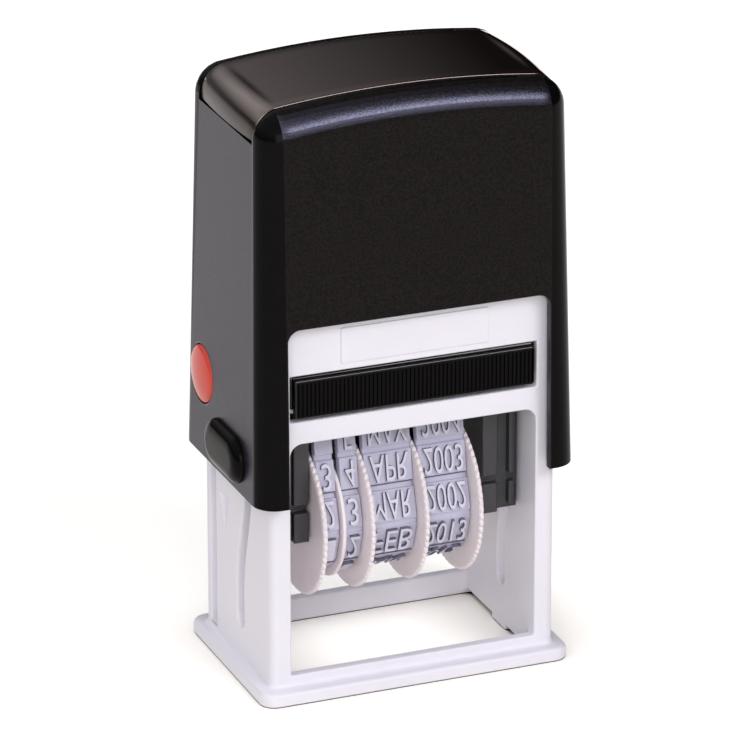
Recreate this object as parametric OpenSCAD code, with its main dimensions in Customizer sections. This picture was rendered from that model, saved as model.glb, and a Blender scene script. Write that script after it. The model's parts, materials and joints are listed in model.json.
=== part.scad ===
// Self-inking date stamp: a drafted housing slides over a white frame, two pivot pins run in S slots,
// and the date unit turns half a turn between the ink pad above it and the paper below.
// Millimetres, +Z up, origin at the centre of the foot's underside, front towards -Y.

/* [Frame] */
// Width of the foot flange
foot_w = 51.9; // [51:0.1:56]
// Depth of the foot flange
foot_d = 34; // [32:0.1:38]
// Thickness of the foot flange
foot_h = 2.2; // [1.6:0.1:2.8]
// Corner radius of the foot flange
foot_r = 2.5; // [1:0.1:4]
// Outside width of the frame's column
frame_w = 47.9; // [46.9:0.1:49]
// Outside depth of the frame's column
frame_d = 29.3; // [28.6:0.1:31]
// Thickness of the two side walls
side_wall = 3.4; // [3.2:0.05:3.5]
// Thickness of the front and rear walls
end_wall = 1.8; // [1.4:0.05:2.1]
// Top of the sill under the front and rear windows
sill_z = 4; // [3.2:0.1:5]
// Radius of the window's upper corners
window_r = 2; // [1:0.1:3]
// Radius of the column's upright corners
column_r = 1.4; // [1.2:0.1:2]
// Width of the raised label panel
panel_w = 24.5; // [16:0.5:34]
// Height of the raised label panel
panel_h = 5.8; // [3:0.1:6]

/* [Housing] */
// Gap between the frame's side and the housing at the housing's lower edge
gap_x = 1.25; // [1.2:0.01:1.5]
// Gap between the frame's front and the housing at the housing's lower edge
gap_y = 1.43; // [1.35:0.01:1.8]
// Wall thickness of the housing
house_wall = 1.4; // [1.2:0.05:1.6]
// Inward lean of each wall from the lower edge to the shoulder
draft = 1; // [0.5:0.01:1.05]
// Height of the crown of the arched top
crown_z = 98.25; // [96.5:0.05:100]
// Radius of the arch along the width
crown_r = 167; // [120:1:260]
// Radius of the rounded top edges
edge_r = 5; // [4:0.1:5.5]
// Radius of the upright corners at the lower edge
corner_r = 3.7; // [2.5:0.1:4.5]
// Lower edge of the housing at rest
skirt_z = 33.5; // [32.8:0.1:35]
// Width of the front and rear cut-outs
cut_w = 43.4; // [42.5:0.1:44]
// Top of the front and rear cut-outs
cut_top_z = 62.6; // [60:0.1:64]
// Radius of the cut-out's upper corners
cut_r = 2; // [1:0.1:4]
// Half depth of the smoked cap
cap_y = 11.3; // [9:0.1:11.4]
// Thickness of the smoked cap
cap_t = 1.9; // [1.4:0.05:2.2]
// Radius of the round ends of the side boss over each pivot pin
boss_r = 3.85; // [3.4:0.05:4.4]
// How far each boss stands off the side
boss_out = 1.6; // [1:0.1:2]

/* [Lock buttons] */
// Radius of each red lock button
button_r = 4.65; // [3.8:0.05:5]
// Running gap around a lock button
button_gap = 0.1; // [0.04:0.01:0.1]
// Position of the lock buttons behind the centre
button_y = 8.8; // [8:0.1:9.4]
// Height of the lock buttons at rest
button_z = 47; // [45:0.1:52]

/* [Stroke] */
// Stroke of the housing
travel = 30; // [29:0.1:30.5]
// Radius of the pivot pins
pin_r = 0.7; // [0.6:0.05:1]
// Gap left around a pivot pin in its channels
pin_gap = 0.08; // [0.04:0.01:0.1]
// Position of the pivot pins at rest, front is negative
pin_rest_y = -4.6; // [-5:0.1:-3.8]
// How far the pins move backwards during the stroke
pin_shift = 3.6; // [2.5:0.1:4]
// Depth of the S bend beyond a straight slanted path
slot_bow = 0.78; // [0.2:0.01:0.8]
// Distance from the pivot pins to the printing face
face_reach = 9; // [8.8:0.05:9.2]
// Gap between the printing face and the pad at rest
pad_gap = 0.3; // [0.2:0.05:0.5]

/* [Ink pad] */
// Height of the cassette slot in the front wall
slot_h = 7.6; // [7:0.1:8]
// Thickness of the ink pad
pad_t = 4; // [3:0.1:4.2]
// Depth of the ridges on the cassette's grip
ridge_d = 0.25; // [0.1:0.05:0.35]
// Number of ridges on the cassette's grip
ridge_n = 58; // [30:1:70]

/* [Date unit] */
// Distance from the pivot pins down to the wheel axle
axle_drop = 13.2; // [13:0.05:13.6]
// Offset of the unit's middle behind the pivot pins
unit_offset = 2.8; // [2:0.1:3]
// Radius of the serrated wheel rims
rim_r = 13.1; // [12.9:0.05:13.3]
// Thickness of each serrated rim
rim_t = 0.8; // [0.6:0.05:1.3]
// Teeth on each rim
rim_teeth = 68; // [48:2:110]
// Depth of the rim teeth
tooth_d = 0.35; // [0.2:0.05:0.5]
// Distance from the axle to the bands' printed flats
band_r = 9.3; // [9:0.05:9.8]
// Radius of the smooth divider between the two day bands
divider_r = 10.7; // [10.3:0.05:12.9]
// Thickness of the bands
band_t = 1.6; // [1.2:0.05:1.7]
// Height kept free for the raised characters under the printing face
glyph_h = 0.3; // [0.2:0.05:0.4]
// Depth of the grooves between two rows
groove_d = 0.5; // [0.2:0.05:0.7]
// Rows in a full turn of a band on its wheel
rows = 10; // [9:1:11]
// Radius of the wheel axle
axle_r = 1.2; // [0.9:0.05:1.3]
// Running gap of the wheels on the axle
axle_gap = 0.05; // [0.02:0.01:0.1]
// Depth of the print head, front to back
head_d = 12; // [11:0.1:12.4]
// Depth of the two cheeks, front to back
cheek_d = 15; // [13:0.1:15]
// Width of the two day bands
day_w = 3; // [2.4:0.05:3.1]
// Width of the month and year bands
long_w = 8; // [7:0.05:8.1]

/* [Return spring] */
// Wire radius of the return spring
wire_r = 0.4; // [0.3:0.02:0.45]
// Mean radius of the return spring
coil_r = 4.2; // [3.6:0.1:4.4]
// Curls in the return spring
coils = 7; // [6:1:7]

/* [Hidden] */
$fn = 64;
tiny = 0.01;
fit = 0.15;
slide_fit = 0.08;

fx = frame_w / 2;
fy = frame_d / 2;
in_x = fx - side_wall;
in_y = fy - end_wall;
hx0 = fx + gap_x + house_wall;
hy0 = fy + gap_y + house_wall;
hx1 = hx0 - draft;
hy1 = hy0 - draft;
shoulder_z = crown_z - 8;
top_t = 5.2;
ceiling_z = crown_z - top_t;
frame_top = ceiling_z - travel - 0.6;
top_plate = 1.6;

pin_rest_z = face_reach + travel;
pin_low_y = pin_rest_y + pin_shift;
slot_half = pin_r + slot_bow + 0.07;
face_z = pin_rest_z + face_reach;
pad_z = face_z + pad_gap;
slot_low = face_z - 1.5;
slot_high = slot_low + slot_h;
window_top = slot_low - 3.7;
tray_low = pad_z + 0.3;
tray_high = slot_high - 0.2;
panel_low = slot_high + 1.2;

unit_y = pin_rest_y + unit_offset;
axle_z = pin_rest_z - axle_drop;
cheek_low = axle_z - 2;
cheek_top = face_z - 3.1;
head_top = face_z - 1.4;
cheek_out = in_x - 0.35;
drum_r = band_r - band_t - 0.2;
bridge_top = face_z - glyph_h - band_t - fit;

rim1_x = -15.1;
tens_x = rim1_x + rim_t + fit;
divider_x = tens_x + day_w + fit;
divider_t = 0.6;
units_x = divider_x + divider_t + fit;
rim2_x = units_x + day_w + fit;
month_x = rim2_x + rim_t + fit;
rim3_x = month_x + long_w + fit;
year_x = rim3_x + rim_t + fit;
rim4_x = year_x + long_w + fit;
stack_end = rim4_x + rim_t;
cheek_in_l = rim1_x - 2 * fit;
cheek_in_r = stack_end + 1.9;

well_r = coil_r + wire_r + 0.5;
well_floor = slot_high + 2.4;
spring_low = well_floor;
spring_high = ceiling_z;
pitch = (spring_high - spring_low - 2 * wire_r) / coils;
echo(least_spring_gap = pitch - 2 * wire_r);

abs_black = [0.1, 0.1, 0.11];
abs_white = [0.93, 0.93, 0.95];
smoke = [0.2, 0.17, 0.16, 0.9];
red = [0.78, 0.16, 0.15];
dark_grey = [0.25, 0.25, 0.26];
nylon = [0.95, 0.93, 0.9];
rubber = [0.62, 0.61, 0.68];
steel = [0.72, 0.73, 0.75];
felt = [0.12, 0.1, 0.18];

// An upright box with round upright corners, standing on z = 0.
module plate(w, d, h, r) {
  translate([-w / 2 + r, -d / 2, 0]) cube([w - 2 * r, d, h]);
  translate([-w / 2, -d / 2 + r, 0]) cube([w, d - 2 * r, h]);
  for (sx = [-1, 1], sy = [-1, 1])
    translate([sx * (w / 2 - r), sy * (d / 2 - r), 0]) cylinder(r = r, h = h);
}

// A box between two corners.
module box(a, b) {
  translate(a) cube([b[0] - a[0], b[1] - a[1], b[2] - a[2]]);
}

// A round bar along X between two values of x.
module bar_x(x0, x1, y, z, r) {
  translate([x0, y, z]) rotate([0, 90, 0]) cylinder(r = r, h = x1 - x0);
}

// A profile drawn in Y and Z, pulled along X.
module pull_x(x0, x1) {
  translate([x0, 0, 0]) rotate([90, 0, 90]) linear_extrude(x1 - x0) children();
}

// A profile drawn in X and Z, pulled along Y.
module pull_y(y0, y1) {
  translate([0, y1, 0]) rotate([90, 0, 0]) linear_extrude(y1 - y0) children();
}

// A cut through the front and rear walls: straight sides, two round upper corners.
module arch_cut(half, low, high, r, y0, y1) {
  box([-half, y0, low], [half, y1, high - r]);
  box([-half + r, y0, high - 2 * r], [half - r, y1, high]);
  for (s = [-1, 1])
    translate([s * (half - r), y0, high - r]) rotate([-90, 0, 0]) cylinder(r = r, h = y1 - y0);
}

// Height of the arched top at a place along the width, lowered by an inset.
function arch(x, inset) = crown_z - inset - crown_r + sqrt(crown_r * crown_r - x * x);

// Where the S slot's middle is at a share of the stroke, 0 at rest and 1 pressed.
function slot_y(s) = pin_rest_y + pin_shift * s - slot_bow * sin(360 * s);
function slot_z(s) = pin_rest_z - travel * s;

// The S slot with its two round ends, pulled through both side walls.
module s_slot(x0, x1) {
  steps = 30;
  front = [for (i = [0:steps]) [slot_y(i / steps) - slot_half, slot_z(i / steps)]];
  rear = [for (i = [steps:-1:0]) [slot_y(i / steps) + slot_half, slot_z(i / steps)]];
  pull_x(x0, x1) polygon(concat(front, rear));
  bar_x(x0, x1, pin_rest_y, pin_rest_z, slot_half);
  bar_x(x0, x1, pin_low_y, pin_rest_z - travel, slot_half);
}

groove_y0 = 9.6;
groove_y1 = 12.1;
groove_deep = 2;
notch_y = 5.8;
notch_half = 1.8;
notch_top = 27;
notch_low = 22;
notch_deep = 1.2;
relief_h = 0.85;
relief_deep = 4.2;
panel_out = 0.25;
ledge = 1.4;
ledge_t = 1.2;

module frame() {
  color(abs_white) {
    difference() {
      union() {
        plate(foot_w, foot_d, foot_h, foot_r);
        plate(frame_w, frame_d, frame_top, column_r);
        box([-panel_w / 2, -fy - panel_out, panel_low], [panel_w / 2, 0, panel_low + panel_h]);
      }
      box([-in_x, -in_y, -1], [in_x, in_y, frame_top - top_plate]);
      arch_cut(in_x, sill_z, window_top, window_r, -fy - 1, fy + 1);
      box([-in_x, -fy - 1, slot_low], [in_x, 0, slot_high]);
      s_slot(-fx - 1, fx + 1);
      for (s = [-1, 1]) {
        box([min(s * fx, s * (fx - groove_deep)) - (s < 0 ? 1 : 0), groove_y0, foot_h + 0.3],
          [max(s * fx, s * (fx - groove_deep)) + (s < 0 ? 0 : 1), groove_y1, frame_top - 3]);
        pull_x(s < 0 ? -fx - 1 : fx - notch_deep, s < 0 ? -fx + notch_deep : fx + 1)
          polygon([[notch_y - notch_half, notch_top], [notch_y + notch_half, notch_top],
            [notch_y, notch_low]]);
        box([s < 0 ? -in_x - relief_deep : in_x - tiny, 2.5, -1],
          [s < 0 ? -in_x + tiny : in_x + relief_deep, in_y, relief_h]);
        box([s < 0 ? -in_x - relief_deep : in_x - tiny, -in_y, -1],
          [s < 0 ? -in_x + tiny : in_x + relief_deep, -3, relief_h]);
      }
      translate([0, 0, well_floor]) cylinder(r = well_r, h = frame_top);
    }
    difference() {
      translate([0, 0, well_floor - 1])
        cylinder(r = well_r + 1, h = frame_top - top_plate - well_floor + 1 + tiny);
      translate([0, 0, well_floor]) cylinder(r = well_r, h = frame_top);
    }
    for (s = [-1, 1]) {
      box([s < 0 ? -in_x - tiny : in_x - ledge, -in_y - tiny, tray_low - ledge_t - 0.05],
        [s < 0 ? -in_x + ledge : in_x + tiny, in_y + tiny, tray_low - 0.05]);
      box([s < 0 ? -in_x - tiny : in_x - ledge, -in_y - tiny, slot_high],
        [s < 0 ? -in_x + ledge : in_x + tiny, in_y + tiny, slot_high + ledge_t]);
    }
  }
}

module return_spring() {
  sides = 6;
  per_curl = 8;
  rings = per_curl * coils;
  points = [for (i = [0:rings], j = [0:sides - 1])
    let (a = 360 * i / per_curl, b = 360 * j / sides, q = coil_r + wire_r * cos(b))
    [q * cos(a), q * sin(a), spring_low + wire_r + pitch * i / per_curl + wire_r * sin(b)]];
  skin = [for (i = [0:rings - 1], j = [0:sides - 1], t = [0, 1])
    let (n = (j + 1) % sides, p = i * sides, u = p + sides)
    t == 0 ? [p + j, p + n, u + n] : [p + j, u + n, u + j]];
  low_end = [for (j = [1:sides - 2]) [0, j + 1, j]];
  last = rings * sides;
  high_end = [for (j = [1:sides - 2]) [last, last + j, last + j + 1]];
  color(steel) polyhedron(points = points, faces = concat(skin, low_end, high_end), convexity = 8);
}

tray_x = in_x - 0.2;
tray_back = in_y - 0.3;
tray_wall = 1.2;
grip_front = -fy - 0.3;
grip_x = in_x - 0.7;
grip_low = slot_low + 0.6;
grip_high = slot_high - 0.6;
pad_half = 17.8;

module pad_cassette() {
  step = 2 * grip_x / ridge_n;
  color(abs_black) {
    difference() {
      box([-tray_x, -fy + 0.6, tray_low], [tray_x, tray_back, tray_high]);
      box([-pad_half - fit, -in_y + 1.3, tray_low - 1],
        [pad_half + fit, tray_back - tray_wall, tray_high - tray_wall]);
    }
    difference() {
      box([-grip_x, grip_front, grip_low], [grip_x, -fy + 0.6 + tiny, grip_high]);
      for (i = [0:ridge_n - 1])
        box([-grip_x + step * (i + 0.6), grip_front - 1, grip_low + 0.5],
          [-grip_x + step * (i + 1), grip_front + ridge_d, grip_high - 0.6]);
    }
  }
}

module ink_pad() {
  color(felt) box([-pad_half, -in_y + 1.3 + fit, pad_z],
    [pad_half, tray_back - tray_wall - fit, min(pad_z + pad_t, tray_high - tray_wall)]);
}

// One rounded outline of the housing at a height, for the drafted shell.
module outline(hx, hy, r, z, h) {
  translate([0, 0, z]) for (sx = [-1, 1], sy = [-1, 1])
    translate([sx * (hx - r), sy * (hy - r), 0]) cylinder(r = r, h = h, $fn = 32);
}

// The drafted outside of the housing with its arched and rounded top.
module shell_out() {
  stations = 12;
  reach = hx1 - edge_r;
  hull() {
    outline(hx0, hy0, corner_r, skirt_z, 0.05);
    for (i = [0:stations], sy = [-1, 1])
      let (x = -reach + 2 * reach * i / stations)
      translate([x, sy * (hy1 - edge_r), arch(x, edge_r)]) sphere(r = edge_r, $fn = 32);
  }
}

// The space inside the housing, up to the ceiling.
module shell_in() {
  hull() {
    outline(hx0 - house_wall, hy0 - house_wall, corner_r - house_wall, skirt_z - 0.05, 0.04);
    outline(hx1 - house_wall, hy1 - house_wall, corner_r - house_wall - 0.4, ceiling_z - 0.05, 0.05);
  }
}

// Arch and round ends in X and Z, inset from the outside, down to a lower level.
cap_inset = 0.6;
cap_x = hx1 - cap_inset;
cap_r = edge_r - cap_inset;
cap_drop = 6.35;
cap_slot = 0.5;
cap_low = crown_z - cap_drop;
lip_gap = 0.4;
lip_in = fx + lip_gap;
lip_top = frame_top + travel + 0.35;
function end_arc(x, r, inset, side) = [for (i = [0:8])
  let (a = side < 0 ? 180 - 90 * i / 8 : 90 - 90 * i / 8)
  [side * (x - r) + (r - inset) * cos(a), arch(x - r, r) + (r - inset) * sin(a)]];
function arch_line(x, r, inset) = [for (i = [1:15])
  let (u = -(x - r) + 2 * (x - r) * i / 16) [u, arch(u, inset)]];
function arch_profile(x, r, inset, low) = concat([[-x + inset, low]], end_arc(x, r, inset, -1),
  arch_line(x, r, inset), end_arc(x, r, inset, 1), [[x - inset, low]]);

pin_end = hx0 + 0.1;
boss_front = pin_rest_y - 1.95;
boss_rear = pin_low_y + 1.75;
boss_z = pin_rest_z - 0.45;
boss_edge = 1.2;
rib_y0 = 12.35;
rib_y1 = 13.4;
rib_root = hx0 - house_wall + 0.1;
channel_end = pin_end + 0.25;

// The boss on the right-hand side: a long pad with round ends and a bevelled edge.
module boss() {
  root = hx0 - 1.2;
  face = hx0 + boss_out;
  neck = face - boss_edge;
  for (y = [boss_front, boss_rear]) {
    bar_x(root, neck, y, boss_z, boss_r);
    translate([neck, y, boss_z]) rotate([0, 90, 0])
      cylinder(r1 = boss_r, r2 = boss_r - boss_edge, h = boss_edge);
  }
  box([root, boss_front, boss_z - boss_r], [neck, boss_rear, boss_z + boss_r]);
  pull_y(boss_front, boss_rear) polygon([[neck, boss_z - boss_r], [face, boss_z - boss_r + boss_edge],
    [face, boss_z + boss_r - boss_edge], [neck, boss_z + boss_r]]);
}

module housing() {
  color(abs_black) difference() {
    union() {
      difference() {
        union() {
          shell_out();
          difference() {
            for (side = [0, 1]) mirror([side, 0, 0]) boss();
            box([-40, -40, -10], [40, 40, skirt_z]);
          }
        }
        shell_in();
      }
      for (s = [-1, 1], t = [-1, 1])
        box([s < 0 ? -rib_root : fx + slide_fit, t < 0 ? -rib_y1 : rib_y0, skirt_z + 0.5],
          [s < 0 ? -fx - slide_fit : rib_root, t < 0 ? -rib_y0 : rib_y1, ceiling_z - 8]);
    }
    arch_cut(cut_w / 2, skirt_z - 5, cut_top_z, cut_r, -40, 40);
    difference() {
      box([-40, -cap_y - fit, cap_low - cap_slot], [40, cap_y + fit, crown_z + 5]);
      pull_y(-cap_y - 1, cap_y + 1) polygon(arch_profile(cap_x, cap_r, cap_t + 0.1, cap_low - cap_drop));
    }
    for (s = [-1, 1]) {
      bar_x(s < 0 ? -hx0 - 2 : fx, s < 0 ? -fx : hx0 + 2, button_y, button_z, button_r + button_gap);
      box([s < 0 ? -channel_end : fx, pin_rest_y - pin_r - pin_gap, pin_rest_z - pin_r - pin_gap],
        [s < 0 ? -fx : channel_end, pin_low_y + pin_r + pin_gap, pin_rest_z + pin_r + pin_gap]);
    }
  }
}

module top_cap() {
  color(smoke) difference() {
    pull_y(-cap_y, cap_y) difference() {
      polygon(arch_profile(cap_x, cap_r, 0, cap_low));
      polygon(arch_profile(cap_x, cap_r, cap_t, cap_low - cap_drop));
    }
    box([-lip_in, -cap_y - 1, cap_low - 1], [lip_in, cap_y + 1, lip_top]);
  }
}

button_out = hx0 + 0.6;
button_in = fx + 0.95;
tip_y = (groove_y0 + groove_y1) / 2;
tip_r = 0.9;
tip_in = fx - 0.7;

// A lock button on the right-hand side: a shallow dome on a short drum, with a tip for the frame's groove.
module lock_button() {
  bar_x(button_in, button_out - 0.6, button_y, button_z, button_r);
  translate([button_out - 0.6, button_y, button_z]) rotate([0, 90, 0])
    cylinder(r1 = button_r, r2 = button_r - 1, h = 0.6);
  bar_x(tip_in, button_in + 0.2, tip_y, button_z, tip_r);
}

module left_lock_button() {
  color(red) mirror([1, 0, 0]) lock_button();
}

module right_lock_button() {
  color(red) lock_button();
}

module left_pivot_pin() {
  color(steel) bar_x(-pin_end, -cheek_out + 2.5, pin_rest_y, pin_rest_z, pin_r);
}

module right_pivot_pin() {
  color(steel) bar_x(cheek_out - 2.5, pin_end, pin_rest_y, pin_rest_z, pin_r);
}

bar_w = 2.6;
rib_w = 1;
front_y = unit_y - cheek_d / 2;
back_y = unit_y + cheek_d / 2;
recess = 1.3;
line_z = axle_z + 3;
line_h = 1.3;

// A cheek on the right-hand side from its inner face outwards: a deep plate with two standing ribs in front.
module cheek(x_in) {
  difference() {
    union() {
      box([x_in, front_y + recess, cheek_low], [cheek_out, back_y, cheek_top]);
      box([x_in, front_y, cheek_low], [x_in + bar_w, front_y + recess + tiny, cheek_top]);
      box([cheek_out - 0.9 - rib_w, front_y, cheek_low + 1],
        [cheek_out - 0.9, front_y + recess + tiny, cheek_top]);
    }
    box([x_in - 1, front_y - 1, line_z], [cheek_out + 1, front_y + recess, line_z + line_h]);
    bar_x(x_in - 1, cheek_out + 1, unit_y, axle_z, axle_r + 0.02);
    bar_x(cheek_out - 2.5 - 0.1, cheek_out + 1, pin_rest_y, pin_rest_z, pin_r + 0.05);
  }
}

module left_cheek() {
  color(dark_grey) mirror([1, 0, 0]) cheek(-cheek_in_l);
}

module right_cheek() {
  color(dark_grey) cheek(cheek_in_r);
}

belt_half = 5;
mouth_y = belt_half + 0.6;
text_mouth = belt_half + 0.2;
head_inset = 1.2;
head_lip = 0.4;
text_inset = 1.9;
text_half = cheek_out - text_inset;
bridge_half = 2.4;
bridge_h = 4.8;
mouth_x0 = tens_x - 0.5;
mouth_x1 = rim4_x - fit + 0.5;

module head_plate() {
  color(dark_grey) difference() {
    box([-cheek_out + head_inset, unit_y - head_d / 2 - head_lip, cheek_top],
      [cheek_out - head_inset, unit_y + head_d / 2 + head_lip, head_top]);
    box([mouth_x0, unit_y - mouth_y, cheek_top - 1], [mouth_x1, unit_y + mouth_y, head_top + 1]);
  }
}

module text_plate() {
  color(rubber) difference() {
    box([-text_half, unit_y - head_d / 2, head_top], [text_half, unit_y + head_d / 2, face_z]);
    box([mouth_x0, unit_y - text_mouth, head_top - 1], [mouth_x1, unit_y + text_mouth, face_z + 1]);
  }
}

module band_bridge() {
  color(dark_grey) {
    box([cheek_in_l, unit_y - bridge_half, bridge_top - bridge_h],
      [cheek_in_r, unit_y + bridge_half, cheek_top]);
    box([mouth_x0 + 2 * fit, unit_y - bridge_half, cheek_top - tiny],
      [mouth_x1 - 2 * fit, unit_y + bridge_half, bridge_top]);
  }
}

module wheel_axle() {
  color(steel) bar_x(-cheek_out + 0.2, cheek_out - 0.2, unit_y, axle_z, axle_r);
}

module day_divider() {
  color(nylon) difference() {
    bar_x(divider_x, divider_x + divider_t, unit_y, axle_z, divider_r);
    bar_x(divider_x - 1, divider_x + 2, unit_y, axle_z, axle_r + 0.02);
  }
}

row_a = 360 / rows;
row_first = 35;
wheel_rows = ceil((180 + 2 * row_first - row_a / 2) / row_a) - 1;
belt_top = face_z - glyph_h - axle_z;
belt_chamfer = 1.2;
row_len = 2 * band_r * tan(row_a / 2);

// Corner points of a band's path around its wheel, inset from the printed flats, front is positive.
function belt_corner(k, inset) =
  let (a = row_first - row_a * k, r = (band_r - inset) / cos(row_a / 2)) [r * cos(a), r * sin(a)];
function belt(inset) = concat(
  [[-belt_half + belt_chamfer + 0.35 * inset, belt_top - inset]],
  [[belt_half - belt_chamfer - 0.35 * inset, belt_top - inset]],
  [[belt_half - 0.8 * inset, belt_top - belt_chamfer - 0.55 * inset]],
  [for (k = [0:wheel_rows]) belt_corner(k, inset)],
  [[-belt_half + 0.8 * inset, belt_top - belt_chamfer - 0.55 * inset]]);

// A narrow groove across the printed side at a point of the path, square to a direction.
module row_groove(p, a) {
  translate(p) rotate(a) translate([-groove_d, -0.45]) square([groove_d + 1.5, 0.9]);
}

module band_profile() {
  run_front = belt(0)[2] - belt_corner(0, 0);
  run_rear = belt(0)[4 + wheel_rows] - belt_corner(wheel_rows, 0);
  a_front = atan2(run_front[1], run_front[0]);
  a_rear = atan2(run_rear[1], run_rear[0]);
  difference() {
    polygon(belt(0));
    polygon(belt(band_t));
    for (k = [0:wheel_rows]) row_groove(belt_corner(k, 0), row_first - row_a * k);
    for (k = [1:2]) {
      row_groove(belt_corner(0, 0) + k * row_len * [cos(a_front), sin(a_front)], a_front - 90);
      row_groove(belt_corner(wheel_rows, 0) + k * row_len * [cos(a_rear), sin(a_rear)], a_rear + 90);
    }
  }
}

// A band between two values of x, its profile mirrored so that the front faces -Y.
module band(x, w) {
  color(rubber) translate([0, unit_y, axle_z]) pull_x(x, x + w) mirror([1, 0]) band_profile();
}

module day_tens_band() {
  band(tens_x, day_w);
}

module day_units_band() {
  band(units_x, day_w);
}

module month_band() {
  band(month_x, long_w);
}

module year_band() {
  band(year_x, long_w);
}

// A serrated rim in Y and Z.
module rim_profile() {
  polygon([for (i = [0:2 * rim_teeth - 1])
    let (a = 180 * i / rim_teeth, r = i % 2 == 0 ? rim_r : rim_r - tooth_d) [r * cos(a), r * sin(a)]]);
}

// A wheel: serrated rim beside the band, drum under the band, bored for the axle.
module wheel(rim_x, drum_x, w) {
  color(nylon) difference() {
    union() {
      translate([0, unit_y, axle_z]) pull_x(rim_x, rim_x + rim_t) rim_profile();
      bar_x(min(drum_x, rim_x + tiny), max(drum_x + w, rim_x + rim_t - tiny), unit_y, axle_z, drum_r);
    }
    bar_x(rim_x - 20, rim_x + 20, unit_y, axle_z, axle_r + axle_gap);
  }
}

module day_tens_wheel() {
  wheel(rim1_x, tens_x, day_w);
}

module day_units_wheel() {
  wheel(rim2_x, units_x, day_w);
}

module month_wheel() {
  wheel(rim3_x, month_x, long_w);
}

module year_wheel() {
  wheel(rim4_x, year_x, long_w);
}

frame();
return_spring();
pad_cassette();
ink_pad();
housing();
top_cap();
left_lock_button();
right_lock_button();
left_pivot_pin();
right_pivot_pin();
left_cheek();
right_cheek();
head_plate();
band_bridge();
wheel_axle();
day_divider();
text_plate();
day_tens_band();
day_units_band();
month_band();
year_band();
day_tens_wheel();
day_units_wheel();
month_wheel();
year_wheel();
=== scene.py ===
# %% [markdown]
# # A self-inking date stamp
# The real stamp is a hand tool of moulded plastic: a black housing slides down over a white frame, a unit
# with four date wheels turns half a turn on the way, and its rubber date goes from the ink pad to the paper.
# The solids come from a CAD model and are loaded as a fixed frame. Most of them get soft moulded edges here,
# a few are drawn anew at the same size, and each gets a finish. The whole is lit like a catalogue picture.

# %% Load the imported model
import json
from math import cos, pi, radians, sin, sqrt

import bmesh
import bpy
from mathutils import Matrix, Vector


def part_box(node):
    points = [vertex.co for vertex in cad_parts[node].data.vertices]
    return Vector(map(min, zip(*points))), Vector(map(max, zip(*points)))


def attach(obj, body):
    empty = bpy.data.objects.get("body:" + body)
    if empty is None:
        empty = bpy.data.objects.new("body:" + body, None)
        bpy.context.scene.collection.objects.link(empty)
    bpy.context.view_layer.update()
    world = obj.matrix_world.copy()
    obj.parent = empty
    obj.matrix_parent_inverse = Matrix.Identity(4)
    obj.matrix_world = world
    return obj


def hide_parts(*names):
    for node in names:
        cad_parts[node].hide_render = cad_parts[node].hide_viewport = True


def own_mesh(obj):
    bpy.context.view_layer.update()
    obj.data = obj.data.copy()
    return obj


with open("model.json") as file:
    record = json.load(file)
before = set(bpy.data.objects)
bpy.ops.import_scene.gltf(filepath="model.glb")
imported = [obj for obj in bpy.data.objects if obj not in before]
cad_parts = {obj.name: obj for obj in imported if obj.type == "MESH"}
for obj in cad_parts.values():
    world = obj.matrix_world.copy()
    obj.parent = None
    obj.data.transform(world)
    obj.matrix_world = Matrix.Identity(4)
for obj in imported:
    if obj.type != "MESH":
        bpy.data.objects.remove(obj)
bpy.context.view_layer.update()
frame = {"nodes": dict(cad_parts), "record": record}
mm = 0.001
scene = bpy.context.scene

# %% [markdown]
# ## The camera
# The picture was taken with a long lens from the front left, a little above the stamp. A camera can be put
# there by eye, but a few measured edges of the picture fix it better: where it stands around the stamp,
# how high, how far, and how long the lens is. The matrix is built from three directions, side, up and back.

# %% Camera
azimuth, elevation, distance = radians(-21.915), radians(21.893), 920.25 * mm
aim_high, aim_aside = 46.078 * mm, 0.622 * mm
side = Vector((cos(azimuth), sin(azimuth), 0))
back = Vector((sin(azimuth) * cos(elevation), -cos(azimuth) * cos(elevation), sin(elevation)))
aim = Vector((0, 0, aim_high)) - aim_aside * side
lens = bpy.data.cameras.new("long_lens")
lens.sensor_width, lens.lens = 36, 281.9
lens.clip_end = 10
camera = bpy.data.objects.new("camera", lens)
scene.collection.objects.link(camera)
turn = Matrix((side, back.cross(side), back)).transposed()
camera.matrix_world = Matrix.Translation(aim + back * distance) @ turn.to_4x4()
scene.camera = camera
print("camera at", [round(v, 4) for v in camera.location])

# %% [markdown]
# ## Tools for the finishes
# A finish is a small graph of nodes. One function adds a node, sets what is constant and links the rest;
# another turns the hex colours that designers use into the linear light that the renderer adds up. A third
# starts an empty finish with the place on the piece, in metres, that every pattern is drawn from.

# %% Colour and node tools
def linear(hex_colour):
    parts = [int(hex_colour[i:i + 2], 16) / 255 for i in (1, 3, 5)]
    return tuple(c / 12.92 if c <= 0.04045 else ((c + 0.055) / 1.055) ** 2.4 for c in parts) + (1.0,)


def add(tree, kind, inputs=None, **settings):
    node = tree.nodes.new(kind)
    for name, value in settings.items():
        setattr(node, name, value)
    for socket, value in (inputs or {}).items():
        if isinstance(value, bpy.types.NodeSocket):
            tree.links.new(value, node.inputs[socket])
        else:
            node.inputs[socket].default_value = value
    return node


def start_finish(name):
    finish = bpy.data.materials.new(name)
    finish.use_nodes = True
    tree = finish.node_tree
    tree.nodes.clear()
    place = add(tree, "ShaderNodeTexCoord").outputs["Object"]
    return finish, tree, place


print("white in linear light:", [round(v, 3) for v in linear("#F0F0F5")])

# %% [markdown]
# ## Parts of a finish
# All finishes here are built alike, so short functions make their usual parts: a noise, a colour and a value
# that follow it, a relief, and the skin that takes all of these. A pattern is set by its real grain in
# millimetres: a noise of scale 1000 has features about a millimetre across, as the pieces are in metres.

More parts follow.
